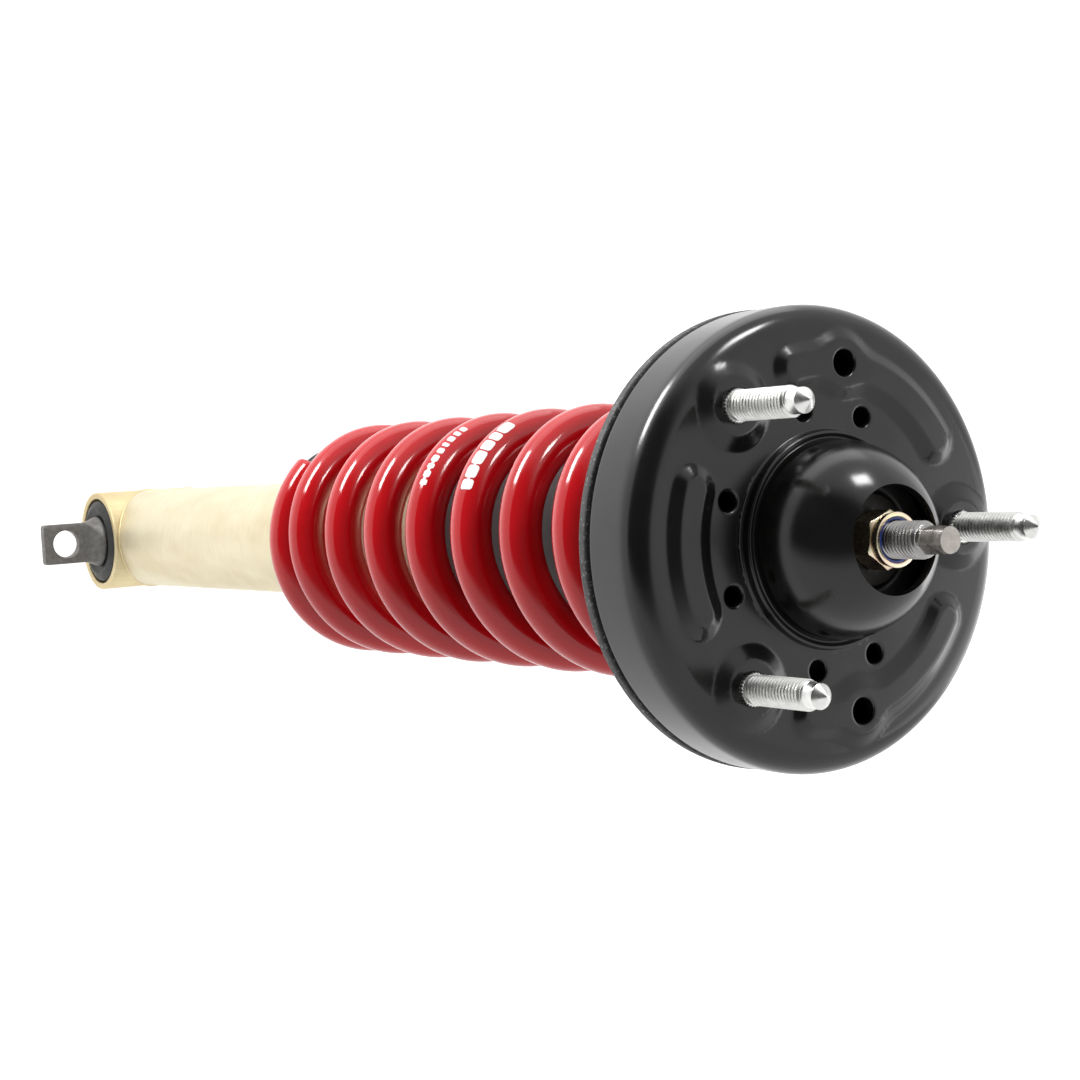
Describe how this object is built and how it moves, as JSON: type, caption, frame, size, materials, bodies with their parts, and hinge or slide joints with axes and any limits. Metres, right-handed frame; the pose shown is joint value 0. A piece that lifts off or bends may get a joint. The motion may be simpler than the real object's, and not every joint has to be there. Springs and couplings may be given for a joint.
{
  "type": "coil-over strut assembly",
  "caption": "Gas-damper strut with a coil spring round it, a stamped stud-mounted top plate with a rubber bush, and a rubber-bushed bar pin at its foot.",
  "frame": {"origin": "on the strut's axis, level with the tops of the three stud bosses that seat against the strut tower", "axes": "+Z along the strut's axis from the bar pin towards the tower, +X along the bar pin on the side of the single stud, +Y by the right-hand rule"},
  "size_m": [0.1546, 0.1546, 0.6743],
  "materials": {
    "black_paint": "gloss electro-coat",
    "bright_zinc": "bright zinc plate",
    "yellow_zinc": "yellow zinc plate",
    "gold_zinc": "satin gold passivated zinc, fine brushed grain",
    "plain_steel": "plain machined",
    "hard_chrome": "polished",
    "red_powder_coat": "gloss powder coat",
    "rubber": "matt moulded",
    "seal_rubber": "satin",
    "red_urethane": "satin foam",
    "dust_tube_plastic": "satin",
    "blue_nylon": "moulded",
    "grey_coat": "phosphate grey",
    "bearing_band": "filled fluoropolymer",
    "machined_alloy": "turned"
  },
  "bodies": {
    "upper_mount": {"mount_plate": "black_paint", "stud_1": "bright_zinc", "stud_2": "bright_zinc", "stud_3": "bright_zinc", "mount_bush": "rubber", "bush_sleeve": "plain_steel", "top_washer": "grey_coat", "rod_nut": "yellow_zinc", "nut_locking_ring": "blue_nylon", "rebound_washer": "plain_steel", "spring_seat_plate": "black_paint", "spring_isolator": "rubber", "coil_spring": "red_powder_coat", "dust_tube": "dust_tube_plastic", "bump_stop_cup": "plain_steel", "bump_stop": "red_urethane", "piston_rod": "hard_chrome", "top_out_bumper": "seal_rubber", "rebound_stop": "plain_steel", "compression_shims": "plain_steel", "piston": "machined_alloy", "piston_band": "bearing_band", "rebound_shims": "plain_steel", "piston_nut": "bright_zinc"},
    "spring_perch": {"lower_spring_perch": "black_paint", "perch_pad": "rubber"},
    "damper_body": {"damper_tube": "gold_zinc", "snap_ring": "bright_zinc", "rod_guide": "machined_alloy", "guide_o_ring": "seal_rubber", "rod_seal": "seal_rubber", "end_cap": "grey_coat", "rod_wiper": "seal_rubber", "retaining_ring": "bright_zinc", "tube_base": "plain_steel", "lower_eye": "gold_zinc", "eye_bush": "rubber"},
    "gas_piston": {"floating_piston": "machined_alloy", "floating_piston_seal": "seal_rubber"},
    "bar_pin": {"bar_pin": "grey_coat"}
  },
  "joints": [
    {"name": "damper_stroke", "type": "slide", "parent": "upper_mount", "child": "spring_perch", "axis": [0, 0, 1], "range_m": [0, 0.11], "stiffness_N_per_m": 60000, "springref_m": -0.025, "deforming": ["coil_spring", "bump_stop"]},
    {"name": "body_swivel", "type": "hinge", "parent": "spring_perch", "child": "damper_body", "pos_m": [0, 0, -0.352], "axis": [0, 0, 1], "continuous": true},
    {"name": "bar_pin_pivot", "type": "hinge", "parent": "damper_body", "child": "bar_pin", "pos_m": [0, 0, -0.5936], "axis": [1, 0, 0], "range_deg": [-15, 15], "stiffness_Nm_per_rad": 110},
    {"name": "gas_piston_slide", "type": "slide", "parent": "damper_body", "child": "gas_piston", "axis": [0, 0, -1], "range_m": [0, 0.0105]}
  ],
  "couplings": [
    {"joint": "gas_piston_slide", "follows": "damper_stroke", "ratio": 0.0926}
  ]
}
